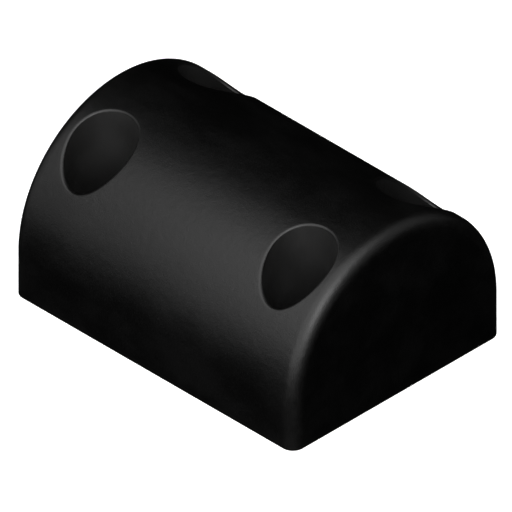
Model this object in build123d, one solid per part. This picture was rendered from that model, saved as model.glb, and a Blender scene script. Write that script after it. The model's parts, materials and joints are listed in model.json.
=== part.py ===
from build123d import *

import os

# A moulded rubber speed bump block with its steel inserts. Millimetres, +Z up.
# The origin is the centre of the flat base. +X runs along the block, which is
# its longest side, and +Y runs across it.

# ---- the block ----
LENGTH = 198.0  # along X, over both flat D-shaped ends
WIDTH = 148.0  # along Y, over both straight sides
CROWN_R = WIDTH / 2  # the crown is half a circle from side to side
SIDE_HEIGHT = 26.5  # straight side below the crown
HEIGHT = SIDE_HEIGHT + CROWN_R
END_FILLET = 7.0  # rolled edge round each D-shaped end

# ---- the four bolt places ----
BOLT_PITCH_X = 140.0
BOLT_PITCH_Y = 80.0
COUNTERBORE_R = 18.5  # takes an M16 washer and the socket that tightens the bolt
COUNTERBORE_RIM = 1.5  # rounded edge where each counterbore breaks the crown
BOLT_HOLE_R = 9.0  # clearance hole for M16

# ---- the reinforcing plate, vulcanised into the rubber ----
PLATE_LENGTH = 184.0
PLATE_WIDTH = 128.0
PLATE_THICKNESS = 6.0
PLATE_CORNER_R = 16.0
PLATE_EDGE = 0.8  # broken edge all round the plate
PLATE_BOTTOM = 17.0
PLATE_TOP = PLATE_BOTTOM + PLATE_THICKNESS
KEY_HOLE_R = 10.0  # rubber flows through these and locks the plate in
KEY_HOLES = [(-35.0, 0.0), (0.0, 0.0), (35.0, 0.0), (0.0, 40.0), (0.0, -40.0)]

# ---- the spacer tubes under the plate ----
SPACER_R = 13.0
SPACER_LENGTH = PLATE_BOTTOM  # from the road up to the plate
SPACER_EDGE = 0.5

# ---- the seat washers on the plate ----
WASHER_R = 18.3
WASHER_THICKNESS = 4.0
WASHER_EDGE = 0.6

BOLT_PLACES = {
    "left_front": (-BOLT_PITCH_X / 2, -BOLT_PITCH_Y / 2),
    "right_front": (BOLT_PITCH_X / 2, -BOLT_PITCH_Y / 2),
    "right_rear": (BOLT_PITCH_X / 2, BOLT_PITCH_Y / 2),
    "left_rear": (-BOLT_PITCH_X / 2, BOLT_PITCH_Y / 2),
}


def post(radius, bottom, top, place=(0.0, 0.0)):
    """A plain upright cylinder between two heights, at one place."""
    x, y = place
    return Pos(x, y, bottom) * extrude(Circle(radius), amount=top - bottom)


def ring(radius, bottom, top, edge, place):
    """An upright ring round a bolt, with its outer edges broken."""
    solid = post(radius, bottom, top, place)
    solid = chamfer(solid.edges().filter_by(GeomType.CIRCLE), edge)
    return solid - post(BOLT_HOLE_R, bottom, top, place)


def d_section():
    """The D-shaped section across the block: straight sides under half a circle."""
    half = WIDTH / 2
    outline = Polyline((-half, SIDE_HEIGHT), (-half, 0), (half, 0), (half, SIDE_HEIGHT))
    crown = ThreePointArc((half, SIDE_HEIGHT), (0, HEIGHT), (-half, SIDE_HEIGHT))
    return Plane.YZ * make_face(outline + crown)


def outer_block():
    """The block's outside: the D section run along X, with its end edges rolled."""
    block = extrude(d_section(), amount=LENGTH / 2, both=True)
    ends = block.faces().filter_by(Axis.X)
    end_edges = [e for face in ends for e in face.edges() if e.center().Z > 1.0]
    return fillet(end_edges, END_FILLET)


def reinforcement_plate():
    """The steel plate that the bolts bear on, with its key holes and bolt holes."""
    outline = RectangleRounded(PLATE_LENGTH, PLATE_WIDTH, PLATE_CORNER_R)
    plate = Pos(0, 0, PLATE_BOTTOM) * extrude(outline, amount=PLATE_THICKNESS)
    levels = plate.edges().group_by(Axis.Z)
    plate = chamfer(levels[0] + levels[-1], PLATE_EDGE)
    for place in KEY_HOLES:
        plate -= post(KEY_HOLE_R, PLATE_BOTTOM, PLATE_TOP, place)
    for place in BOLT_PLACES.values():
        plate -= post(BOLT_HOLE_R, PLATE_BOTTOM, PLATE_TOP, place)
    return plate


def is_counterbore_rim(edge):
    """Whether an edge is where a counterbore breaks out through the crown."""
    box = edge.bounding_box()
    return box.min.Z > SIDE_HEIGHT and abs(box.size.X - 2 * COUNTERBORE_R) < 0.1


def rubber_body(inserts):
    """The rubber: the block less its counterbores and everything moulded into it."""
    body = outer_block()
    for place in BOLT_PLACES.values():
        body -= post(COUNTERBORE_R, PLATE_TOP, HEIGHT, place)
    rims = [edge for edge in body.edges() if is_counterbore_rim(edge)]
    body = fillet(rims, COUNTERBORE_RIM)
    for place in BOLT_PLACES.values():
        body -= post(BOLT_HOLE_R, 0, PLATE_TOP, place)
    for insert in inserts:
        body -= insert
    return body


def write(name, shape):
    """Save one piece as its own file and say how large it is."""
    shape = shape.solid() if len(shape.solids()) == 1 else shape
    shape.label = name
    export_step(shape, f"parts/{name}.step")
    print(f"{name}: {shape.volume / 1000:.1f} cm3")


def main():
    os.makedirs("parts", exist_ok=True)
    plate = reinforcement_plate()
    spacers = {
        f"spacer_tube_{name}": ring(SPACER_R, 0, SPACER_LENGTH, SPACER_EDGE, place)
        for name, place in BOLT_PLACES.items()
    }
    washers = {
        f"seat_washer_{name}": ring(WASHER_R, PLATE_TOP, PLATE_TOP + WASHER_THICKNESS, WASHER_EDGE, place)
        for name, place in BOLT_PLACES.items()
    }
    write("rubber_body", rubber_body([plate, *spacers.values()]))
    write("reinforcement_plate", plate)
    for name, shape in {**spacers, **washers}.items():
        write(name, shape)


main()
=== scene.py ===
"""The looks of a moulded rubber speed bump block and of the steel inserts inside it.

Everything is in metres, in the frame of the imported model: +X runs along the block, +Y across it
and +Z up from the road, and the origin is the centre of the flat base.
"""

import json
import logging
from collections.abc import Callable
from dataclasses import dataclass, field
from enum import Enum
from functools import partial
from math import cos, pi, radians, sin

import bmesh
import bpy
import numpy as np
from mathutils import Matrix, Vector, noise


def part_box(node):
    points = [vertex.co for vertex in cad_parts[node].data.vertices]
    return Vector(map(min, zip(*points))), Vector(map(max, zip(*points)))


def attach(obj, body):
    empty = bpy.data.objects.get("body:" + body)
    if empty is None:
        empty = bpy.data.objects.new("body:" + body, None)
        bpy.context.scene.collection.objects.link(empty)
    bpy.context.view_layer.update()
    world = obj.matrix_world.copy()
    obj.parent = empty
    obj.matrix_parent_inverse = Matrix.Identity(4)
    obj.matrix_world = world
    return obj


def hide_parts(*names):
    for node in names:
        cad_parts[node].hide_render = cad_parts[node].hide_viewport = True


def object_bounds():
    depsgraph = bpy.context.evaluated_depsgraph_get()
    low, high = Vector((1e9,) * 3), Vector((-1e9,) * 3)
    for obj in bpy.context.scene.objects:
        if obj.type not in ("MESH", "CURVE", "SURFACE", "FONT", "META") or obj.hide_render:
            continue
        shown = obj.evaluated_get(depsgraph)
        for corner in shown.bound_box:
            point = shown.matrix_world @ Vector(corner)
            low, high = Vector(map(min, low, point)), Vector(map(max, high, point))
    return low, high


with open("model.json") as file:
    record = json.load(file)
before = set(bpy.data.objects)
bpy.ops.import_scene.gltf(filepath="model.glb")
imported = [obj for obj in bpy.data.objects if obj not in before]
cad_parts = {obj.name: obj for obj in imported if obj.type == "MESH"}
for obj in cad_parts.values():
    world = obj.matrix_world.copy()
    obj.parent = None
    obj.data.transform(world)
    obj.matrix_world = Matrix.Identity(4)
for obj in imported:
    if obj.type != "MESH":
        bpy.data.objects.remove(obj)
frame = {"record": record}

CAD_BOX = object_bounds()
MM = 0.001
BODY = "root"
WELD = 0.002 * MM
EDGE_ATTRIBUTE = "edge"
RADIUS_ATTRIBUTE = "turned_radius"
RECESS_ATTRIBUTE = "recess"
FULL_BEND = radians(12.0)  # a bend this sharp counts as a full edge

log = logging.getLogger("speed_bump")

Socket = bpy.types.NodeSocket
Value = float | tuple[float, ...] | Socket
Colour = tuple[float, float, float, float]
Outline = Callable[[float], np.ndarray]
WHITE: Colour = (1.0, 1.0, 1.0, 1.0)


class Slot(Enum):
    """The record's material slots."""

    RUBBER = "moulded_rubber"
    INSERT = "insert_steel"
    WASHER = "zinc_washer"


# ---- lines and outlines ----


def spaced(start: float, end: float, step: float) -> np.ndarray:
    """Evenly spaced values from start to end.

    Args:
        start: the first value.
        end: the last value.
        step: about how far apart the values are.

    Returns:
        The values, with both ends.
    """
    return np.linspace(start, end, max(1, round(abs(end - start) / step)) + 1)


def joined(runs: list[np.ndarray]) -> np.ndarray:
    """Joins runs of values end to end.

    Args:
        runs: runs that each start where the one before ended.

    Returns:
        All the values, with each joint kept once.
    """
    return np.concatenate([runs[0]] + [run[1:] for run in runs[1:]])


def closed(loop: np.ndarray) -> np.ndarray:
    """The same points with the first one repeated at the end."""
    return np.concatenate([loop, loop[:1]])


def at_height(loop: np.ndarray, z: float) -> np.ndarray:
    """Lifts flat points to a height.

    Args:
        loop: points as (n, 2).
        z: their height.

    Returns:
        The points as (n, 3).
    """
    return np.column_stack([loop, np.full(len(loop), z)])


def circle(centre: tuple[float, float], radius: float, angles: np.ndarray) -> np.ndarray:
    """Points on a circle.

    Args:
        centre: the circle's centre.
        radius: its radius.
        angles: the angle of each point.

    Returns:
        The points as (n, 2).
    """
    return np.column_stack([centre[0] + radius * np.cos(angles), centre[1] + radius * np.sin(angles)])


def full_turn(count: int) -> np.ndarray:
    """That many angles evenly round a circle, without the repeated last one."""
    return np.linspace(0.0, 2 * pi, count, endpoint=False)


def rounded_rectangle(
    centre: tuple[float, float], half: tuple[float, float], radius: float, per_corner: int
) -> np.ndarray:
    """The outline of a rectangle with round corners, anticlockwise.

    Args:
        centre: the rectangle's centre.
        half: half its size each way.
        radius: the radius of its corners.
        per_corner: how many segments each corner has.

    Returns:
        The outline's points as (n, 2), with no repeated last point.
    """
    corners = []
    for turn, (sign_x, sign_y) in enumerate([(1, 1), (-1, 1), (-1, -1), (1, -1)]):
        middle = (centre[0] + sign_x * (half[0] - radius), centre[1] + sign_y * (half[1] - radius))
        corners.append(circle(middle, radius, np.linspace(turn, turn + 1, per_corner + 1) * pi / 2))
    return np.concatenate(corners)


def perimeter(xs: np.ndarray, ys: np.ndarray) -> np.ndarray:
    """The outer points of a rectangular grid, anticlockwise.

    Args:
        xs: the grid's lines along the first axis.
        ys: the grid's lines along the second axis.

    Returns:
        The points as (n, 2), with the first one repeated at the end.
    """
    bottom = np.column_stack([xs, np.full(len(xs), ys[0])])
    right = np.column_stack([np.full(len(ys), xs[-1]), ys])
    top = np.column_stack([xs[::-1], np.full(len(xs), ys[-1])])
    left = np.column_stack([np.full(len(ys), xs[0]), ys[::-1]])
    return np.concatenate([bottom, right[1:], top[1:], left[1:]])


# ---- meshes ----


class Skin:
    """Collects the patches of one closed skin, and welds them into a piece."""

    def __init__(self) -> None:
        """Starts with no patches."""
        self.points: list[np.ndarray] = []
        self.faces: list[tuple[int, ...]] = []
        self.count = 0

    def _add(self, points: np.ndarray) -> int:
        """Keeps an (n, 3) array of points, and gives the number of the first of them."""
        first = self.count
        self.points.append(points)
        self.count += len(points)
        return first

    def grid(self, points: np.ndarray) -> None:
        """Adds quads over a grid of points.

        Args:
            points: an array of (rows, columns, 3).
        """
        rows, columns = points.shape[:2]
        index = self._add(points.reshape(-1, 3)) + np.arange(rows * columns).reshape(rows, columns)
        quads = np.stack([index[:-1, :-1], index[1:, :-1], index[1:, 1:], index[:-1, 1:]], axis=-1)
        self.faces += [tuple(quad) for quad in quads.reshape(-1, 4).tolist()]

    def fan(self, centre: np.ndarray, rim: np.ndarray) -> None:
        """Adds triangles from a centre to an open run of rim points.

        Args:
            centre: the point they share.
            rim: the rim's points as (n, 3).
        """
        first = self._add(np.vstack([centre, rim]))
        self.faces += [(first, first + k, first + k + 1) for k in range(1, len(rim))]

    def sheet(self, loops: list[np.ndarray]) -> None:
        """Fills the flat area between an outline and the holes in it.

        Args:
            loops: the outline and each hole, as (n, 3) with no repeated last point.
        """
        bm = bmesh.new()
        for loop in loops:
            verts = [bm.verts.new(point) for point in loop]
            for start, end in zip(verts, verts[1:] + verts[:1]):
                bm.edges.new((start, end))
        bmesh.ops.triangle_fill(bm, use_beauty=True, edges=bm.edges[:])
        bm.verts.index_update()
        first = self._add(np.array([vert.co[:] for vert in bm.verts]))
        self.faces += [tuple(first + vert.index for vert in face.verts) for face in bm.faces]
        bm.free()

    def wall(self, outline: Outline, low: float, high: float, edge: float) -> None:
        """Adds an upright wall whose top and bottom edges are rounded.

        Args:
            outline: gives the wall's outline as (n, 2), set back into the metal by a distance.
            low: the height of the bottom edge.
            high: the height of the top edge.
            edge: the radius of the rounded edges.
        """
        bends = np.linspace(0.0, pi / 2, 4)
        steps = [(edge * (1 - sin(a)), low + edge * (1 - cos(a))) for a in bends]
        steps += [(edge * (1 - cos(a)), high - edge * (1 - sin(a))) for a in bends]
        self.grid(np.array([at_height(closed(outline(inset)), z) for inset, z in steps]))

    def make(
        self, name: str, shape_surface: Callable[[np.ndarray, np.ndarray], np.ndarray] | None = None
    ) -> bpy.types.Object:
        """Welds the patches and makes the object.

        Args:
            name: the piece's name.
            shape_surface: if given, moves the welded points, from their places and normals.

        Returns:
            The new object, smooth shaded, with how sharply it bends at each point as an attribute.
        """
        bm = bmesh.new()
        verts = [bm.verts.new(point) for point in np.concatenate(self.points)]
        for face in self.faces:
            bm.faces.new([verts[k] for k in face])
        bmesh.ops.remove_doubles(bm, verts=bm.verts[:], dist=WELD)
        bmesh.ops.recalc_face_normals(bm, faces=bm.faces[:])
        bm.normal_update()
        if shape_surface:
            places = np.array([vert.co[:] for vert in bm.verts])
            normals = np.array([vert.normal[:] for vert in bm.verts])
            for vert, place in zip(bm.verts, shape_surface(places, normals)):
                vert.co = place
        open_edges = sum(not edge.is_manifold for edge in bm.edges)
        bends = [
            max((edge.calc_face_angle(0.0) for edge in vert.link_edges), default=0.0) for vert in bm.verts
        ]
        mesh = bpy.data.meshes.new(name)
        bm.to_mesh(mesh)
        bm.free()
        mesh.shade_smooth()
        mark_points(mesh, EDGE_ATTRIBUTE, spread_along_edges(mesh, np.array(bends)))
        piece = bpy.data.objects.new(name, mesh)
        bpy.context.collection.objects.link(piece)
        piece.modifiers.new("flat_faces_flat", "WEIGHTED_NORMAL").keep_sharp = True
        log.info("%s: %d faces, %d open edges", name, len(mesh.polygons), open_edges)
        return piece


def mark_points(mesh: bpy.types.Mesh, name: str, values: np.ndarray | list[float]) -> None:
    """Stores a value at each of a mesh's points, for the finishes to read."""
    mesh.attributes.new(name, "FLOAT", "POINT").data.foreach_set("value", values)


def dress(piece: bpy.types.Object, material: bpy.types.Material, node: str) -> None:
    """Gives a finished piece its material, and puts it in the place of its CAD node.

    Args:
        piece: the piece.
        material: what it is made of.
        node: the CAD node that it stands for.
    """
    piece.data.materials.append(material)
    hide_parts(node)
    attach(piece, BODY)


def spread_along_edges(mesh: bpy.types.Mesh, bends: np.ndarray, rounds: int = 3) -> np.ndarray:
    """Turns the bend at each point into a soft mask of the piece's edges.

    Args:
        mesh: the mesh.
        bends: the largest angle between neighbouring faces at each point.
        rounds: how many points out the mask is spread.

    Returns:
        The mask, from 0 on flat surfaces to 1 on edges.
    """
    mask = np.clip(bends / FULL_BEND, 0.0, 1.0)
    ends = np.empty(len(mesh.edges) * 2, dtype=int)
    mesh.edges.foreach_get("vertices", ends)
    ends = ends.reshape(-1, 2)
    near = np.bincount(ends.ravel(), minlength=len(mask))
    for _ in range(rounds):
        total = np.bincount(ends[:, 0], mask[ends[:, 1]], len(mask))
        total += np.bincount(ends[:, 1], mask[ends[:, 0]], len(mask))
        mask = (mask + total / np.maximum(near, 1)) / 2
    return mask


# ---- materials ----


class Graph:
    """Adds nodes to a node tree and wires them up."""

    def __init__(self, tree: bpy.types.NodeTree) -> None:
        """Works on one tree."""
        self.tree = tree

    def node(self, kind: str, values: dict[str | int, Value] | None = None, **settings) -> bpy.types.Node:
        """Adds a node.

        Args:
            kind: the node's type.
            values: what goes into its inputs, as numbers or as the sockets that feed them.
            settings: the node's own settings.

        Returns:
            The node.
        """
        node = self.tree.nodes.new(kind)
        for key, setting in settings.items():
            setattr(node, key, setting)
        self.fill(node, values or {})
        return node

    def fill(self, node: bpy.types.Node, values: dict[str | int, Value]) -> None:
        """Sets a node's inputs, or links them to the sockets that feed them."""
        for key, value in values.items():
            if isinstance(value, Socket):
                self.tree.links.new(value, node.inputs[key])
            else:
                node.inputs[key].default_value = value

    def noise(self, vector: Socket, scale: Value, detail: float, **inputs: Value) -> Socket:
        """The value of a noise that varies over space.

        Args:
            vector: the place that it is read at.
            scale: how fine it is.
            detail: how many finer layers it has.
            inputs: its other inputs.

        Returns:
            The noise.
        """
        values = {"Vector": vector, "Scale": scale, "Detail": detail, **inputs}
        return self.node("ShaderNodeTexNoise", values).outputs[0]

    def surface(
        self, shader: bpy.types.Node, colour: Socket, rough: Socket, bump: dict[str, Value]
    ) -> None:
        """Wires what changes over a surface into its shader.

        Args:
            shader: the Principled node.
            colour: its base colour.
            rough: its roughness.
            bump: the height and distance of its relief.
        """
        relief = self.node("ShaderNodeBump", {**bump, "Strength": 1.0})
        self.fill(shader, {"Base Color": colour, "Roughness": rough, "Normal": relief.outputs[0]})

    def math(self, operation: str, *values: Value) -> Socket:
        """The result of a Math node on those values."""
        return self.node("ShaderNodeMath", dict(enumerate(values)), operation=operation).outputs[0]

    def ramp(
        self, value: Socket, low: float, high: float, to_low: float = 0.0, to_high: float = 1.0
    ) -> Socket:
        """Maps a value smoothly from one range to another.

        Args:
            value: what is mapped.
            low: the value that becomes to_low.
            high: the value that becomes to_high.
            to_low: the result at and below low.
            to_high: the result at and above high.

        Returns:
            The mapped value.
        """
        values = {"Value": value, "From Min": low, "From Max": high, "To Min": to_low, "To Max": to_high}
        return self.node("ShaderNodeMapRange", values, interpolation_type="SMOOTHSTEP").outputs["Result"]

    def mix(self, factor: Value, first: Value, second: Value) -> Socket:
        """Blends two colours.

        Args:
            factor: how much of the second there is.
            first: the colour at 0.
            second: the colour at 1.

        Returns:
            The blended colour.
        """
        values = {0: factor, 6: first, 7: second}  # a colour Mix node's own factor, A and B
        return self.node("ShaderNodeMix", values, data_type="RGBA").outputs[2]


class Effect:
    """A shader node group that several finishes share. It is built once."""

    name = ""
    inputs: dict[str, str] = {}
    outputs: dict[str, str] = {}

    @classmethod
    def tree(cls) -> bpy.types.NodeTree:
        """The effect's node group, made the first time that it is asked for."""
        made = bpy.data.node_groups.get(cls.name)
        if made:
            return made
        tree = bpy.data.node_groups.new(cls.name, "ShaderNodeTree")
        for name, kind in cls.inputs.items():
            tree.interface.new_socket(name, in_out="INPUT", socket_type=kind)
        for name, kind in cls.outputs.items():
            tree.interface.new_socket(name, in_out="OUTPUT", socket_type=kind)
        graph = Graph(tree)
        given = graph.node("NodeGroupInput").outputs
        graph.node("NodeGroupOutput", cls.wire(graph, given))
        return tree

    @classmethod
    def wire(cls, graph: Graph, given: bpy.types.NodeOutputs) -> dict[str, Socket]:
        """Builds the inside of the group.

        Args:
            graph: the group's graph.
            given: the group's inputs.

        Returns:
            What feeds each output.
        """
        raise NotImplementedError

    @classmethod
    def use(cls, graph: Graph, values: dict[str, Value]) -> bpy.types.NodeOutputs:
        """Places the effect in a material.

        Args:
            graph: the material's graph.
            values: what goes into the effect's inputs.

        Returns:
            The effect's outputs.
        """
        node = graph.node("ShaderNodeGroup", node_tree=cls.tree())
        graph.fill(node, values)
        return node.outputs


class MouldedGrain(Effect):
    """The skin that a mould leaves: a fine grain over a soft peel, with scattered small pits."""

    name = "moulded_grain"
    inputs = {
        "Vector": "NodeSocketVector",
        "Grain Scale": "NodeSocketFloat",
        "Peel Scale": "NodeSocketFloat",
        "Peel Height": "NodeSocketFloat",
        "Pit Scale": "NodeSocketFloat",
        "Pit Depth": "NodeSocketFloat",
    }
    outputs = {"Height": "NodeSocketFloat", "Tone": "NodeSocketFloat"}

    @classmethod
    def wire(cls, graph: Graph, given: bpy.types.NodeOutputs) -> dict[str, Socket]:
        """Adds the pits to the grain. See Effect.wire."""
        grain = graph.noise(given["Vector"], given["Grain Scale"], 3.0, Roughness=0.6)
        peel = graph.noise(given["Vector"], given["Peel Scale"], 1.0)
        skin = graph.math("ADD", grain, graph.math("MULTIPLY", peel, given["Peel Height"]))
        cells = graph.node(
            "ShaderNodeTexVoronoi", {"Vector": given["Vector"], "Scale": given["Pit Scale"]}
        ).outputs["Distance"]
        few = graph.noise(given["Vector"], given["Pit Scale"], 0.0)
        pits = graph.math("MULTIPLY", graph.ramp(cells, 0.06, 0.22, 1.0, 0.0), graph.ramp(few, 0.58, 0.68))
        height = graph.math("SUBTRACT", skin, graph.math("MULTIPLY", pits, given["Pit Depth"]))
        return {"Height": height, "Tone": grain}


class Mottle(Effect):
    """Large soft patches, such as bloom on rubber or handling marks on zinc."""

    name = "mottle"
    inputs = {"Vector": "NodeSocketVector", "Scale": "NodeSocketFloat", "Stretch": "NodeSocketVector"}
    outputs = {"Mask": "NodeSocketFloat"}

    @classmethod
    def wire(cls, graph: Graph, given: bpy.types.NodeOutputs) -> dict[str, Socket]:
        """Stretches a warped noise and hardens it a little. See Effect.wire."""
        stretched = graph.node(
            "ShaderNodeVectorMath", {0: given["Vector"], 1: given["Stretch"]}, operation="MULTIPLY"
        ).outputs[0]
        patches = graph.noise(stretched, given["Scale"], 6.0, Roughness=0.6, Distortion=0.2)
        return {"Mask": graph.ramp(patches, 0.34, 0.70)}


class EdgeWear(Effect):
    """A broken mask along a piece's edges, where it is rubbed."""

    name = "edge_wear"
    inputs = {"Edge": "NodeSocketFloat", "Vector": "NodeSocketVector", "Scale": "NodeSocketFloat"}
    outputs = {"Mask": "NodeSocketFloat"}

    @classmethod
    def wire(cls, graph: Graph, given: bpy.types.NodeOutputs) -> dict[str, Socket]:
        """Breaks the edge mask up with noise. See Effect.wire."""
        breaks = graph.noise(given["Vector"], given["Scale"], 4.0)
        return {"Mask": graph.math("MULTIPLY", given["Edge"], graph.ramp(breaks, 0.35, 0.65, 0.3, 1.0))}


class TurnedLines(Effect):
    """Fine rings left by turning or punching, and by the bolt head that rubs on them."""

    name = "turned_lines"
    inputs = {"Radius": "NodeSocketFloat", "Vector": "NodeSocketVector", "Pitch": "NodeSocketFloat"}
    outputs = {"Height": "NodeSocketFloat"}

    @classmethod
    def wire(cls, graph: Graph, given: bpy.types.NodeOutputs) -> dict[str, Socket]:
        """Reads a noise along the radius, with a little drift. See Effect.wire."""
        drift = graph.noise(given["Vector"], 60.0, 1.0)
        place = graph.math("ADD", graph.math("DIVIDE", given["Radius"], given["Pitch"]), drift)
        lines = graph.node(
            "ShaderNodeTexNoise", {"W": place, "Scale": 1.0, "Detail": 3.0}, noise_dimensions="1D"
        ).outputs[0]
        return {"Height": lines}


def attribute(graph: Graph, name: str) -> Socket:
    """A point attribute's value, read in a material."""
    return graph.node("ShaderNodeAttribute", attribute_name=name).outputs["Fac"]


def object_place(graph: Graph) -> Socket:
    """The place of the shaded point in the object's own space."""
    return graph.node("ShaderNodeTexCoord").outputs["Object"]


def new_material(name: str) -> tuple[bpy.types.Material, Graph, bpy.types.Node]:
    """Starts a material.

    Args:
        name: the material's name.

    Returns:
        The material, its graph, and its Principled node, joined to the output.
    """
    material = bpy.data.materials.new(name)
    material.use_nodes = True
    material.node_tree.nodes.clear()
    graph = Graph(material.node_tree)
    shader = graph.node("ShaderNodeBsdfPrincipled")
    graph.node("ShaderNodeOutputMaterial", {"Surface": shader.outputs[0]})
    return material, graph, shader


@dataclass(frozen=True)
class RubberFinish:
    """Satin black moulded rubber."""

    name: str = "moulded_black_rubber"
    colour: Colour = (0.0006, 0.0006, 0.0006, 1.0)
    bloom: Colour = (0.0014, 0.0014, 0.0014, 1.0)
    rubbed: Colour = (0.0070, 0.0069, 0.0067, 1.0)
    # lighter grey for the counterbore walls: release powder, and painted light that stands in for light on
    # the walls
    powder_and_painted_light: Colour = (0.0085, 0.0084, 0.0082, 1.0)
    specular: float = 0.5
    roughness: float = 0.38
    roughness_swing: float = 0.05
    powder_roughness: float = 0.2
    grain_scale: float = 1700.0
    peel_scale: float = 260.0
    peel_height: float = 0.9
    pit_scale: float = 420.0
    pit_depth: float = 0.45
    bump_height: float = 0.11 * MM
    bloom_scale: float = 38.0
    bloom_stretch: tuple[float, float, float] = (0.6, 1.0, 1.0)
    bloom_share: float = 0.7
    wear_scale: float = 300.0
    wear_share: float = 0.5
    thin_powder_and_painted_light: float = 0.8  # how much of the release powder and painted light is left between the patches of bloom
    grain_dulling: float = 0.6

    def material(self) -> bpy.types.Material:
        """Builds the material.

        Returns:
            The material.
        """
        material, graph, shader = new_material(self.name)
        place = object_place(graph)
        grain = MouldedGrain.use(
            graph,
            {
                "Vector": place,
                "Grain Scale": self.grain_scale,
                "Peel Scale": self.peel_scale,
                "Peel Height": self.peel_height,
                "Pit Scale": self.pit_scale,
                "Pit Depth": self.pit_depth,
            },
        )
        patches = {"Vector": place, "Scale": self.bloom_scale, "Stretch": self.bloom_stretch}
        bloom = Mottle.use(graph, patches)["Mask"]
        edges = {"Edge": attribute(graph, EDGE_ATTRIBUTE), "Vector": place, "Scale": self.wear_scale}
        wear = EdgeWear.use(graph, edges)["Mask"]
        bloomed = graph.mix(graph.math("MULTIPLY", bloom, self.bloom_share), self.colour, self.bloom)
        rubbed = graph.mix(graph.math("MULTIPLY", wear, self.wear_share), bloomed, self.rubbed)
        cover = graph.ramp(bloom, 0.0, 1.0, self.thin_powder_and_painted_light, 1.0)
        # the counterbore walls get a lighter colour: release powder, and painted light that stands in for
        # light on the walls; the same mask also roughens them
        powder_and_painted_light_mask = graph.math("MULTIPLY", attribute(graph, RECESS_ATTRIBUTE), cover)
        colour = graph.mix(powder_and_painted_light_mask, rubbed, self.powder_and_painted_light)
        low, high = self.roughness - self.roughness_swing, self.roughness + self.roughness_swing
        dull_bloom = graph.math("MULTIPLY", bloom, self.bloom_share)
        dull = graph.math("ADD", dull_bloom, graph.math("MULTIPLY", grain["Tone"], self.grain_dulling))
        skin_rough = graph.ramp(dull, 0.0, self.bloom_share + self.grain_dulling, low, high)
        rough = graph.math("MULTIPLY_ADD", powder_and_painted_light_mask, self.powder_roughness, skin_rough)
        graph.surface(shader, colour, rough, {"Height": grain["Height"], "Distance": self.bump_height})
        shader.inputs["Specular IOR Level"].default_value = self.specular
        return material


@dataclass(frozen=True)
class SteelFinish:
    """A steel surface, bare or plated, with turned rings and handling marks."""

    name: str
    colour: Colour
    stain: Colour
    bright: Colour
    roughness: float
    ring_pitch: float = 0.22 * MM
    ring_height: float = 0.012 * MM
    stain_share: float = 0.5
    mark_scale: float = 160.0
    wear_scale: float = 700.0
    smoother: float = 0.08
    duller: float = 0.12

    def material(self) -> bpy.types.Material:
        """Builds the material.

        Returns:
            The material.
        """
        material, graph, shader = new_material(self.name)
        place = object_place(graph)
        patches = {"Vector": place, "Scale": self.mark_scale, "Stretch": (1.0, 1.0, 1.0)}
        marks = Mottle.use(graph, patches)["Mask"]
        edges = {"Edge": attribute(graph, EDGE_ATTRIBUTE), "Vector": place, "Scale": self.wear_scale}
        wear = EdgeWear.use(graph, edges)["Mask"]
        rings = TurnedLines.use(
            graph, {"Radius": attribute(graph, RADIUS_ATTRIBUTE), "Vector": place, "Pitch": self.ring_pitch}
        )["Height"]
        stained = graph.mix(graph.math("MULTIPLY", marks, self.stain_share), self.colour, self.stain)
        colour = graph.mix(wear, stained, self.bright)
        low, high = self.roughness - self.smoother, self.roughness + self.duller
        rough = graph.ramp(graph.math("ADD", marks, rings), 0.3, 1.6, low, high)
        graph.surface(shader, colour, rough, {"Height": rings, "Distance": self.ring_height})
        shader.inputs["Metallic"].default_value = 1.0
        return material


ZINC = SteelFinish(
    name="zinc_plated_steel",
    colour=(0.56, 0.57, 0.59, 1.0),
    stain=(0.36, 0.35, 0.33, 1.0),
    bright=(0.72, 0.73, 0.75, 1.0),
    roughness=0.34,
)
ROLLED = SteelFinish(
    name="rolled_steel",
    colour=(0.20, 0.20, 0.21, 1.0),
    stain=(0.10, 0.09, 0.085, 1.0),
    bright=(0.42, 0.42, 0.43, 1.0),
    roughness=0.46,
    ring_pitch=0.5 * MM,
)


# ---- the shape ----


@dataclass(frozen=True)
class BoltPlace:
    """One of the four places where the block is bolted down."""

    name: str
    x: float
    y: float

    @property
    def centre(self) -> tuple[float, float]:
        """The bolt's place on the plan."""
        return self.x, self.y


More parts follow.
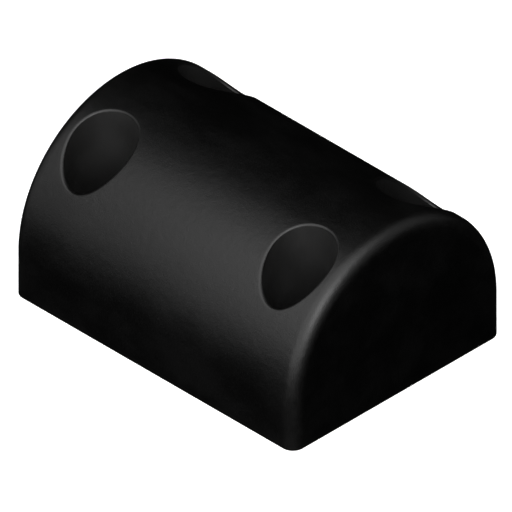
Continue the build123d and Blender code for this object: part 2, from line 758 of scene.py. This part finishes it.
@dataclass(frozen=True)
class BlockShape:
    """The block's sizes in metres: the frame's where it has them, and the mould's small radii."""

    length: float
    width: float
    height: float
    counterbore_r: float
    spacer_r: float
    bolt_r: float
    plate_low: Vector
    plate_high: Vector
    places: tuple[BoltPlace, ...]
    end_fillet: float = 7.0 * MM
    rim_fillet: float = 1.5 * MM
    base_edge: float = 0.5 * MM
    spacer_lip: float = 0.4 * MM
    plate_corner: float = 16.0 * MM
    plate_edge: float = 0.8 * MM
    key_hole_r: float = 10.0 * MM
    key_holes: tuple[tuple[float, float], ...] = (
        (-35.0 * MM, 0.0),
        (0.0, 0.0),
        (35.0 * MM, 0.0),
        (0.0, 40.0 * MM),
        (0.0, -40.0 * MM),
    )

    @classmethod
    def from_frame(cls) -> "BlockShape":
        """Reads the sizes from the frame's boxes and its bolt pattern.

        Returns:
            The block's sizes.
        """
        low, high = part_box("rubber_body")
        plate_low, plate_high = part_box("reinforcement_plate")
        washer_low, washer_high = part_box("seat_washer_left_front")
        spacer_low, spacer_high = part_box("spacer_tube_left_front")
        washer_play = 0.2 * MM
        pattern = next(m for m in frame["record"]["mounts"] if m["kind"] == "bolt_pattern")["dims"]
        half_x, half_y = pattern["spacing_x_mm"] * MM / 2, pattern["spacing_y_mm"] * MM / 2
        signs = {"left_front": (-1, -1), "right_front": (1, -1), "right_rear": (1, 1), "left_rear": (-1, 1)}
        return cls(
            length=high[0] - low[0],
            width=high[1] - low[1],
            height=high[2] - low[2],
            counterbore_r=(washer_high[0] - washer_low[0]) / 2 + washer_play,
            spacer_r=(spacer_high[0] - spacer_low[0]) / 2,
            bolt_r=pattern["hole_r_mm"] * MM,
            plate_low=plate_low,
            plate_high=plate_high,
            places=tuple(BoltPlace(name, sx * half_x, sy * half_y) for name, (sx, sy) in signs.items()),
        )

    @property
    def crown_r(self) -> float:
        """The radius of the half-round crown."""
        return self.width / 2

    @property
    def side_height(self) -> float:
        """How high the straight sides are."""
        return self.height - self.crown_r

    @property
    def straight_x(self) -> float:
        """Where the crown ends and the rolled end edge starts, from the middle."""
        return self.length / 2 - self.end_fillet

    @property
    def straight_y(self) -> float:
        """Half the width of the flat end at the base."""
        return self.width / 2 - self.end_fillet

    @property
    def quarter(self) -> float:
        """The distance round the crown from its ridge to the top of a straight side."""
        return self.crown_r * pi / 2

    def slant(self, s: np.ndarray) -> np.ndarray:
        """How far the surface leans from level at a distance s round from the ridge."""
        return np.clip(s, -self.quarter, self.quarter) / self.crown_r

    def surface(self, x: np.ndarray, s: np.ndarray) -> np.ndarray:
        """Points of the crown and the sides.

        Args:
            x: how far along the block they are.
            s: how far round from the ridge they are, down to the base on each side.

        Returns:
            The points, with a last axis of 3.
        """
        lean = self.slant(s)
        drop = np.maximum(np.abs(s) - self.quarter, 0.0)
        y = self.crown_r * np.sin(lean)
        return np.stack([x, y, self.side_height + self.crown_r * np.cos(lean) - drop], axis=-1)

    def outward(self, s: np.ndarray) -> np.ndarray:
        """The surface's outward direction at a distance s round from the ridge."""
        lean = self.slant(s)
        return np.stack([np.zeros_like(lean), np.sin(lean), np.cos(lean)], axis=-1)

    def round_of(self, y: np.ndarray) -> np.ndarray:
        """The distance round the crown from its ridge to a place y across the block."""
        return self.crown_r * np.arcsin(y / self.crown_r)


@dataclass(frozen=True)
class Rim:
    """The rounded edge where a counterbore breaks the crown, at each angle round the bolt."""

    angles: np.ndarray
    reach: np.ndarray  # how far from the bolt the rounding meets the crown
    centre_z: np.ndarray  # the height of the rounding's own centre
    start: np.ndarray  # the rounding's angle where it meets the crown

    @classmethod
    def solve(cls, shape: BlockShape, place: BoltPlace, angles: np.ndarray) -> "Rim":
        """Rolls the rounding against the crown and the counterbore's wall.

        Args:
            shape: the block's sizes.
            place: the bolt's place.
            angles: the angles round the bolt.

        Returns:
            The rim at those angles.
        """
        radius, outer = shape.rim_fillet, shape.counterbore_r + shape.rim_fillet
        reach = np.full_like(angles, outer)
        for _ in range(12):
            y = place.y + reach * np.sin(angles)
            slope = -y * np.sin(angles) / np.sqrt(shape.crown_r**2 - y**2)
            steep = np.sqrt(1 + slope**2)
            reach = outer - radius * slope / steep
        y = place.y + reach * np.sin(angles)
        top = shape.side_height + np.sqrt(shape.crown_r**2 - y**2)
        return cls(angles, reach, top - radius / steep, np.arctan2(1 / steep, -slope / steep))

    def on_surface(self, shape: BlockShape, place: BoltPlace) -> np.ndarray:
        """Where the rounding meets the crown, as distances along and round the block."""
        plan = circle(place.centre, 1.0, self.angles) - np.array(place.centre)
        plan = np.array(place.centre) + plan * self.reach[:, None]
        return np.column_stack([plan[:, 0], shape.round_of(plan[:, 1])])


@dataclass
class RubberBlock:
    """The moulded rubber block, as one closed skin with the insert's cavity inside it."""

    shape: BlockShape
    finish: RubberFinish = RubberFinish()
    step: float = 1.5 * MM
    fillet_segments: int = 10
    rim_segments: int = 8
    rim_layers: int = 8
    wall_rows: int = 26
    patch_margin: float = 5.0 * MM
    base_patch: float = 20.0 * MM
    wave_height: float = 0.035 * MM
    wave_length: float = 26.0 * MM
    short_wave_share: float = 0.15
    level_base: float = 6.0 * MM  # the unevenness comes in over this height above the base
    level_rim: float = 3.0 * MM  # it stays away this far round a counterbore
    rim_blend: float = 8.0 * MM
    skin: Skin = field(default_factory=Skin)

    def build(self) -> bpy.types.Object:
        """Builds the block.

        Returns:
            The block, which stands for the CAD body.
        """
        shape = self.shape
        self._lay_out()
        self._crown_and_sides()
        for sign in (-1, 1):
            self._end(sign)
        self._base_edge()
        self._base()
        for place in shape.places:
            self._counterbore(place)
        self._cavity()
        piece = self.skin.make("rubber_block", self._waves)
        self._mark_recesses(piece.data)
        dress(piece, self.finish.material(), "rubber_body")
        return piece

    def _lay_out(self) -> None:
        """Sets the mesh's lines along, round and across the block."""
        shape, step = self.shape, self.step
        place = next(p for p in shape.places if p.x > 0 and p.y > 0)
        ends = Rim.solve(shape, place, np.array([-pi / 2, pi / 2])).on_surface(shape, place)[:, 1]
        near, far = ends[0] - self.patch_margin, ends[1] + self.patch_margin
        inner_x = 2 * place.x - shape.straight_x
        half_x = [spaced(inner_x, shape.straight_x, step)]
        self.x_runs = [-half_x[0][::-1], spaced(-inner_x, inner_x, step), half_x[0]]
        floor = shape.quarter + shape.side_height - shape.base_edge
        half_s = [spaced(near, far, step), spaced(far, shape.quarter, step)]
        half_s.append(spaced(shape.quarter, floor, step))
        self.s_runs = [-run[::-1] for run in half_s[::-1]] + [spaced(-near, near, step)] + half_s
        self.x_lines, self.s_lines = joined(self.x_runs), joined(self.s_runs)
        self.top_s = joined(self.s_runs[2:5])
        self.side_s = joined(self.s_runs[5:])
        count = len(self.top_s) - 1
        low, high = place.y - self.base_patch, place.y + self.base_patch
        patch = round(count * (high - low) / (2 * shape.straight_y))
        rest = round(count * (shape.straight_y - high) / (2 * shape.straight_y))
        half_y = [np.linspace(low, high, patch + 1), np.linspace(high, shape.straight_y, rest + 1)]
        middle = np.linspace(-low, low, count - 2 * (patch + rest) + 1)
        self.y_runs = [-run[::-1] for run in half_y[::-1]] + [middle] + half_y
        self.y_lines = joined(self.y_runs)
        self.turn = np.linspace(0.0, pi / 2, self.fillet_segments + 1)

    def _bolt_place(self, x_run: np.ndarray, across: np.ndarray) -> BoltPlace | None:
        """The bolt place inside a patch of the mesh's lines, if it holds one.

        Args:
            x_run: the patch's lines along the block.
            across: the patch's ends across the block.

        Returns:
            The place, or None.
        """
        for place in self.shape.places:
            if x_run[0] < place.x < x_run[-1] and across[0] < place.y < across[-1]:
                return place
        return None

    def _patch(
        self, loop: np.ndarray, ring: Callable[[np.ndarray], np.ndarray], half: tuple[float, float]
    ) -> tuple[np.ndarray, np.ndarray]:
        """Blends a rectangle's outline into a ring round a bolt.

        Args:
            loop: the rectangle's outline, closed.
            ring: gives the ring's points for angles round the bolt.
            half: about how large the ring is each way.

        Returns:
            The angle at each point of the loop, and the layers from the loop to the ring.
        """
        middle = ring(np.array([0.0, pi / 2, pi, -pi / 2]))
        centre = (middle.min(axis=0) + middle.max(axis=0)) / 2
        angles = np.arctan2((loop[:, 1] - centre[1]) / half[1], (loop[:, 0] - centre[0]) / half[0])
        shares = np.linspace(0.0, 1.0, self.rim_layers + 1)[:, None, None]
        return angles, loop * (1 - shares) + ring(angles) * shares

    def _crown_and_sides(self) -> None:
        """Adds the crown and the straight sides, less the counterbores."""
        shape = self.shape
        self.rim_angles: dict[str, np.ndarray] = {}
        for x_run in self.x_runs:
            for s_run in self.s_runs:
                across = shape.crown_r * np.sin(shape.slant(s_run))
                place = self._bolt_place(x_run, across)
                if not place:
                    self.skin.grid(shape.surface(*np.meshgrid(x_run, s_run, indexing="ij")))
                    continue
                ends = Rim.solve(shape, place, np.array([-pi / 2, 0.0, pi / 2]))
                half_s = np.ptp(ends.on_surface(shape, place)[:, 1]) / 2
                angles, layers = self._patch(
                    perimeter(x_run, s_run),
                    lambda turn: Rim.solve(shape, place, turn).on_surface(shape, place),
                    (ends.reach[1], half_s),
                )
                self.rim_angles[place.name] = angles
                self.skin.grid(shape.surface(layers[..., 0], layers[..., 1]))

    def _end(self, sign: int) -> None:
        """Adds one rolled end edge and the flat D-shaped end inside it.

        Args:
            sign: -1 or 1, for the end at -X or +X.
        """
        shape, radius = self.shape, self.shape.end_fillet
        out = np.array([float(sign), 0.0, 0.0])

        def rolled(s: np.ndarray, turn: np.ndarray) -> np.ndarray:
            """The end edge at distances round the block and turns towards the end face."""
            normal = shape.outward(s)
            middle = shape.surface(np.full_like(s, sign * shape.straight_x), s) - radius * normal
            bend = np.cos(turn)[:, None, None] * normal + np.sin(turn)[:, None, None] * out
            return middle + radius * bend

        self.skin.grid(rolled(self.s_lines, self.turn))
        face = np.array([pi / 2])
        top = rolled(self.top_s, face)[0]
        right = rolled(self.side_s, face)[0][::-1]
        left = rolled(-self.side_s, face)[0][::-1]
        flat = np.ones_like(self.y_lines)
        bottom = np.column_stack([right[0, 0] * flat, self.y_lines, shape.base_edge * flat])
        u = np.linspace(0.0, 1.0, len(top))[None, :, None]
        v = np.linspace(0.0, 1.0, len(right))[:, None, None]
        ruled = (1 - v) * bottom + v * top + (1 - u) * left[:, None] + u * right[:, None]
        corners = (1 - v) * ((1 - u) * bottom[0] + u * bottom[-1]) + v * ((1 - u) * top[0] + u * top[-1])
        self.skin.grid(ruled - corners)

    def _base_outline(self) -> tuple[np.ndarray, np.ndarray]:
        """The block's outline on the plan, and its outward direction, closed."""
        shape, points, normals = self.shape, [], []
        runs = [self.x_lines, self.y_lines, self.x_lines[::-1], self.y_lines[::-1]]
        for quarter, run in enumerate(runs):
            facing = (quarter - 1) * pi / 2
            normal = np.array([round(cos(facing)), round(sin(facing))])
            if quarter % 2:
                side = np.column_stack([np.full(len(run), normal[0] * shape.length / 2), run])
            else:
                side = np.column_stack([run, np.full(len(run), normal[1] * shape.width / 2)])
            corner = side[-1] - normal * shape.end_fillet
            turned = circle((0.0, 0.0), 1.0, facing + self.turn)
            points += [side[:-1], corner + shape.end_fillet * turned[:-1]]
            normals += [np.tile(normal, (len(run) - 1, 1)), turned[:-1]]
        return closed(np.concatenate(points)), closed(np.concatenate(normals))

    def _base_edge(self) -> None:
        """Adds the small rounded edge all round the base."""
        edge = self.shape.base_edge
        outline, normals = self._base_outline()
        rows = []
        for bend in np.linspace(0.0, pi / 2, 4):
            rows.append(at_height(outline - edge * (1 - cos(bend)) * normals, edge * (1 - sin(bend))))
        self.skin.grid(np.array(rows))

    def _base(self) -> None:
        """Adds the flat base, with a hole for each spacer tube."""
        shape = self.shape
        lip = shape.spacer_r + shape.spacer_lip
        self.spacer_angles: dict[str, np.ndarray] = {}
        for x_run in self.x_runs:
            for y_run in self.y_runs:
                place = self._bolt_place(x_run, y_run)
                if not place:
                    flat = np.stack(np.meshgrid(x_run, y_run, indexing="ij"), axis=-1)
                    self._flat(flat)
                    continue
                angles, layers = self._patch(
                    perimeter(x_run, y_run), lambda turn: circle(place.centre, lip, turn), (lip, lip)
                )
                self.spacer_angles[place.name] = angles
                self._flat(layers)
        edge_x, edge_y = shape.length / 2 - shape.base_edge, shape.width / 2 - shape.base_edge
        for sign in (-1, 1):
            strip = sign * spaced(shape.straight_y, edge_y, self.step)
            self._flat(np.stack(np.meshgrid(self.x_lines, strip, indexing="ij"), axis=-1))
            strip = sign * spaced(shape.straight_x, edge_x, self.step)
            self._flat(np.stack(np.meshgrid(strip, self.y_lines, indexing="ij"), axis=-1))
        reach = shape.end_fillet - shape.base_edge
        strip_steps = (spaced(shape.straight_y, edge_y, self.step) - shape.straight_y) / reach
        for quarter in range(4):
            sign_x, sign_y = round(cos(quarter * pi / 2 + pi / 4)), round(sin(quarter * pi / 2 + pi / 4))
            centre = np.array([sign_x * shape.straight_x, sign_y * shape.straight_y])
            spokes = circle((0.0, 0.0), reach, quarter * pi / 2 + self.turn)
            rings = centre + strip_steps[1:, None, None] * spokes
            self._flat(rings)
            self.skin.fan(at_height(centre[None], 0.0)[0], at_height(rings[0], 0.0))

    def _flat(self, points: np.ndarray) -> None:
        """Adds a patch of the base from its points on the plan."""
        self.skin.grid(np.concatenate([points, np.zeros(points.shape[:2] + (1,))], axis=-1))

    def _counterbore(self, place: BoltPlace) -> None:
        """Adds one counterbore: its rounded rim, and its wall down to the plate.

        Args:
            place: the bolt's place.
        """
        shape = self.shape
        rim = Rim.solve(shape, place, self.rim_angles[place.name])
        share = np.linspace(0.0, 1.0, self.rim_segments + 1)[:, None]
        bend = rim.start * (1 - share) + pi * share
        out = shape.counterbore_r + shape.rim_fillet * (1 + np.cos(bend))
        up = rim.centre_z + shape.rim_fillet * np.sin(bend)
        self._round_bolt(place, rim.angles, out, up)
        fall = np.linspace(0.0, 1.0, self.wall_rows + 1)[:, None]
        down = rim.centre_z * (1 - fall) + shape.plate_high[2] * fall
        self._round_bolt(place, rim.angles, np.full_like(down, shape.counterbore_r), down)

    def _round_bolt(self, place: BoltPlace, angles: np.ndarray, out: np.ndarray, up: np.ndarray) -> None:
        """Adds a patch of rings round a bolt.

        Args:
            place: the bolt's place.
            angles: the angle of each column of points.
            out: each point's distance from the bolt, as (rings, angles).
            up: each point's height, as (rings, angles).
        """
        x, y = place.x + out * np.cos(angles), place.y + out * np.sin(angles)
        self.skin.grid(np.stack([x, y, up], axis=-1))

    def _cavity(self) -> None:
        """Adds the cavity that the rubber moulds round the plate and the spacer tubes."""
        shape = self.shape
        low, high = shape.plate_low[2], shape.plate_high[2]
        outline = plate_outline(shape)
        keys = [circle(centre, shape.key_hole_r, full_turn(48)) for centre in shape.key_holes]
        for loop in [outline, *keys]:
            self.skin.grid(np.array([at_height(closed(loop), z) for z in (low, high)]))
        above = [circle(p.centre, shape.counterbore_r, self.rim_angles[p.name][:-1]) for p in shape.places]
        below = [circle(p.centre, shape.spacer_r, self.spacer_angles[p.name][:-1]) for p in shape.places]
        for z, holes in ((high, above), (low, below)):
            self.skin.sheet([at_height(loop, z) for loop in [outline, *keys, *holes]])
        lip = shape.spacer_lip
        bends = np.linspace(0.0, pi / 2, 4)
        out = np.array([shape.spacer_r, *(shape.spacer_r + lip * (1 - np.cos(bends)))])[:, None]
        up = np.array([low, *(lip * (1 - np.sin(bends)))])[:, None]
        for place in shape.places:
            angles = self.spacer_angles[place.name]
            columns = np.ones_like(angles)
            self._round_bolt(place, angles, out * columns, up * columns)

    def _waves(self, places: np.ndarray, normals: np.ndarray) -> np.ndarray:
        """Gives the outside the faint unevenness of moulded rubber.

        Args:
            places: the skin's points.
            normals: its outward direction at each of them.

        Returns:
            The moved points. The base, the rims and the inside stay where they are.
        """
        shape = self.shape
        from_base = np.clip(places[:, 2] / self.level_base, 0.0, 1.0)
        from_bolt = np.min(
            [np.hypot(places[:, 0] - p.x, places[:, 1] - p.y) for p in shape.places], axis=0
        )
        from_rim = np.clip((from_bolt - shape.counterbore_r - self.level_rim) / self.rim_blend, 0.0, 1.0)
        inside = np.abs(places[:, 0]) < shape.straight_x
        inside &= places[:, 2] < shape.plate_high[2] + MM
        inside &= np.abs(places[:, 1]) < shape.straight_y
        share = np.where(inside, 0.0, from_base * from_rim)
        long = [noise.noise(Vector(place) / self.wave_length) for place in places]
        short = [noise.noise(Vector(place) / (self.wave_length / 4)) for place in places]
        lift = self.wave_height * (np.array(long) + self.short_wave_share * np.array(short)) * share
        return places - np.abs(lift)[:, None] * normals

    def _mark_recesses(self, mesh: bpy.types.Mesh) -> None:
        """Marks the walls of the counterbores, which get a lighter colour: the mould's release powder, and
        painted light that stands in for light on the walls.

        Args:
            mesh: the block's mesh.
        """
        shape = self.shape
        marks = []
        for vert in mesh.vertices:
            from_bolt = min(np.hypot(vert.co.x - p.x, vert.co.y - p.y) for p in shape.places)
            on_wall = from_bolt < shape.counterbore_r + WELD and vert.co.z > shape.plate_high[2]
            marks.append(1.0 if on_wall else 0.0)
        mark_points(mesh, RECESS_ATTRIBUTE, marks)


def plate_outline(shape: BlockShape, inset: float = 0.0) -> np.ndarray:
    """The reinforcing plate's outline.

    Args:
        shape: the block's sizes.
        inset: how far inside the plate's edge the outline runs.

    Returns:
        The outline's points as (n, 2).
    """
    half = (shape.plate_high[0] - inset, shape.plate_high[1] - inset)
    return rounded_rectangle((0.0, 0.0), half, shape.plate_corner - inset, 12)


def hole_outline(centre: tuple[float, float], radius: float, inset: float) -> np.ndarray:
    """A round hole's outline, set back into the metal by a distance."""
    return circle(centre, radius + inset, full_turn(64))


@dataclass
class ReinforcementPlate:
    """The steel plate vulcanised into the rubber, which the bolts bear on."""

    shape: BlockShape
    finish: SteelFinish = ROLLED
    hole_edge: float = 0.3 * MM

    def build(self) -> bpy.types.Object:
        """Builds the plate with its key holes and bolt holes.

        Returns:
            The plate, which stands for the CAD plate.
        """
        shape, skin = self.shape, Skin()
        low, high = shape.plate_low[2], shape.plate_high[2]
        outlines: list[tuple[Outline, float]] = [(partial(plate_outline, shape), shape.plate_edge)]
        holes = [(centre, shape.key_hole_r) for centre in shape.key_holes]
        holes += [(place.centre, shape.bolt_r) for place in shape.places]
        outlines += [(partial(hole_outline, centre, radius), self.hole_edge) for centre, radius in holes]
        for outline, edge in outlines:
            skin.wall(outline, low, high, edge)
        for z in (low, high):
            skin.sheet([at_height(outline(edge), z) for outline, edge in outlines])
        piece = skin.make("insert_plate")
        dress(piece, self.finish.material(), "reinforcement_plate")
        return piece


@dataclass
class TurnedRing:
    """A steel ring round one bolt: a spacer tube or a seat washer."""

    node: str
    place: BoltPlace
    bore_r: float
    material: bpy.types.Material
    slot: Slot
    edge: float
    segments: int = 128

    def build(self) -> bpy.types.Object:
        """Turns the ring's rounded section about the bolt.

        Returns:
            The ring, which stands for its CAD node.
        """
        low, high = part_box(self.node)
        outer_r = (high[0] - low[0]) / 2
        middle = ((outer_r + self.bore_r) / 2, (low[2] + high[2]) / 2)
        half = ((outer_r - self.bore_r) / 2, (high[2] - low[2]) / 2)
        section = closed(rounded_rectangle(middle, half, self.edge, 4))
        angles = np.linspace(0.0, 2 * pi, self.segments + 1)
        x = self.place.x + section[:, 0, None] * np.cos(angles)
        y = self.place.y + section[:, 0, None] * np.sin(angles)
        skin = Skin()
        skin.grid(np.stack([x, y, section[:, 1, None] * np.ones_like(angles)], axis=-1))
        piece = skin.make(self.node.replace("seat_washer", "washer").replace("spacer_tube", "spacer"))
        self._mark_radius(piece.data)
        dress(piece, self.material, self.node)
        return piece

    def _mark_radius(self, mesh: bpy.types.Mesh) -> None:
        """Stores each point's distance from the bolt, which the turned lines follow."""
        distances = [(vert.co.xy - Vector(self.place.centre)).length for vert in mesh.vertices]
        mark_points(mesh, RADIUS_ATTRIBUTE, distances)


# ---- the studio ----


@dataclass(frozen=True)
class Softbox:
    """A square soft light that faces the block."""

    name: str
    azimuth: float  # degrees round from +X towards +Y
    elevation: float
    distance: float
    size: float
    radiance: float

    def build(self, target: Vector) -> bpy.types.Object:
        """Hangs the light.

        Args:
            target: the point that it faces.

        Returns:
            The light.
        """
        turn, lift = radians(self.azimuth), radians(self.elevation)
        towards = Vector((cos(turn) * cos(lift), sin(turn) * cos(lift), sin(lift)))
        light = bpy.data.lights.new(self.name, "AREA")
        light.shape, light.size = "SQUARE", self.size
        light.energy = self.radiance * self.size**2 * pi
        lamp = bpy.data.objects.new(self.name, light)
        lamp.location = target + towards * self.distance
        lamp.rotation_euler = towards.to_track_quat("Z", "Y").to_euler()
        lamp.visible_camera = False
        bpy.context.collection.objects.link(lamp)
        return lamp


@dataclass(frozen=True)
class Studio:
    """A pale floor, soft lights, and a parallel-projection camera."""

    azimuth: float = 45.0
    elevation: float = 35.264
    frame_width: float = 0.2556
    aim: tuple[float, float, float] = (-0.00052, -0.00052, 0.03502)
    camera_distance: float = 1.2
    floor_size: float = 16.0
    floor_drop: float = 0.1 * MM
    floor_colour: Colour = (0.86, 0.86, 0.86, 1.0)
    floor_glow: float = 0.72
    floor_light: float = 1.35
    backdrop: float = 1.04
    fill: float = 0.0
    softboxes: tuple[Softbox, ...] = (
        Softbox("key", azimuth=-66.0, elevation=41.0, distance=0.41, size=0.87, radiance=1.7),
        Softbox("far_side", azimuth=-138.0, elevation=22.0, distance=0.8, size=0.9, radiance=0.45),
        Softbox("end_side", azimuth=-12.0, elevation=7.0, distance=0.55, size=0.4, radiance=0.22),
        Softbox("back", azimuth=42.0, elevation=42.0, distance=0.55, size=0.6, radiance=0.32),
        Softbox("front", azimuth=-45.0, elevation=36.0, distance=1.6, size=0.7, radiance=4.8),
    )

    def build(self) -> None:
        """Sets the whole studio up."""
        floor = self._floor()
        self._floor_sun(floor)
        self._world()
        target = Vector((0.0, 0.0, CAD_BOX[1][2] / 2))
        for softbox in self.softboxes:
            softbox.build(target)
        self._camera()
        bpy.context.scene.view_settings.view_transform = "Standard"

    def _camera(self) -> None:
        """Makes the camera and gives it to the scene."""
        data = bpy.data.cameras.new("camera")
        data.type, data.ortho_scale = "ORTHO", self.frame_width
        camera = bpy.data.objects.new("camera", data)
        turn, lift = radians(self.azimuth), radians(self.elevation)
        back = Vector((sin(turn) * cos(lift), -cos(turn) * cos(lift), sin(lift)))
        camera.location = Vector(self.aim) + back * self.camera_distance
        camera.rotation_euler = back.to_track_quat("Z", "Y").to_euler()
        bpy.context.collection.objects.link(camera)
        bpy.context.scene.camera = camera

    def _floor(self) -> bpy.types.Object:
        """Lays the floor.

        Returns:
            The floor, which the rubber doesn't mirror.
        """
        half = self.floor_size / 2
        mesh = bpy.data.meshes.new("floor")
        plan = ((-half, -half), (half, -half), (half, half), (-half, half))
        corners = [(x, y, -self.floor_drop) for x, y in plan]
        mesh.from_pydata(corners, [], [(0, 1, 2, 3)])
        floor = bpy.data.objects.new("floor", mesh)
        bpy.context.collection.objects.link(floor)
        material, graph, shader = new_material("pale_floor")
        graph.fill(shader, {"Base Color": self.floor_colour, "Roughness": 1.0, "Specular IOR Level": 0.0})
        graph.fill(shader, {"Emission Color": WHITE, "Emission Strength": self.floor_glow})
        mesh.materials.append(material)
        floor.visible_glossy = False
        floor.visible_diffuse = False
        return floor

    def _floor_sun(self, floor: bpy.types.Object) -> None:
        """Lights the floor alone, evenly, with a soft shadow under the block.

        Args:
            floor: the floor.
        """
        light = bpy.data.lights.new("floor_sun", "SUN")
        light.energy, light.angle = self.floor_light, radians(60.0)
        lamp = bpy.data.objects.new("floor_sun", light)
        lamp.rotation_euler = (radians(8.0), radians(8.0), 0.0)
        bpy.context.collection.objects.link(lamp)
        lit = bpy.data.collections.new("lit_by_floor_sun")
        lit.objects.link(floor)
        lamp.light_linking.receiver_collection = lit

    def _world(self) -> None:
        """Makes the surroundings: a white backdrop to look at, and a dim even fill."""
        world = bpy.data.worlds.new("studio")
        world.use_nodes = True
        world.node_tree.nodes.clear()
        graph = Graph(world.node_tree)
        seen = graph.node("ShaderNodeLightPath").outputs["Is Camera Ray"]
        strength = graph.ramp(seen, 0.0, 1.0, self.fill, self.backdrop)
        background = graph.node("ShaderNodeBackground", {"Color": WHITE, "Strength": strength})
        graph.node("ShaderNodeOutputWorld", {"Surface": background.outputs[0]})
        bpy.context.scene.world = world


def main() -> None:
    """Builds the block, its inserts and the studio."""
    logging.basicConfig(level=logging.INFO, format="%(name)s: %(message)s")
    shape = BlockShape.from_frame()
    RubberBlock(shape).build()
    plate = ReinforcementPlate(shape).build()
    rolled, zinc = plate.data.materials[0], ZINC.material()
    for place in shape.places:
        TurnedRing(f"spacer_tube_{place.name}", place, shape.bolt_r, rolled, Slot.INSERT, 0.5 * MM).build()
        TurnedRing(f"seat_washer_{place.name}", place, shape.bolt_r, zinc, Slot.WASHER, 0.6 * MM).build()
    Studio().build()


if __name__ == "__main__":
    main()
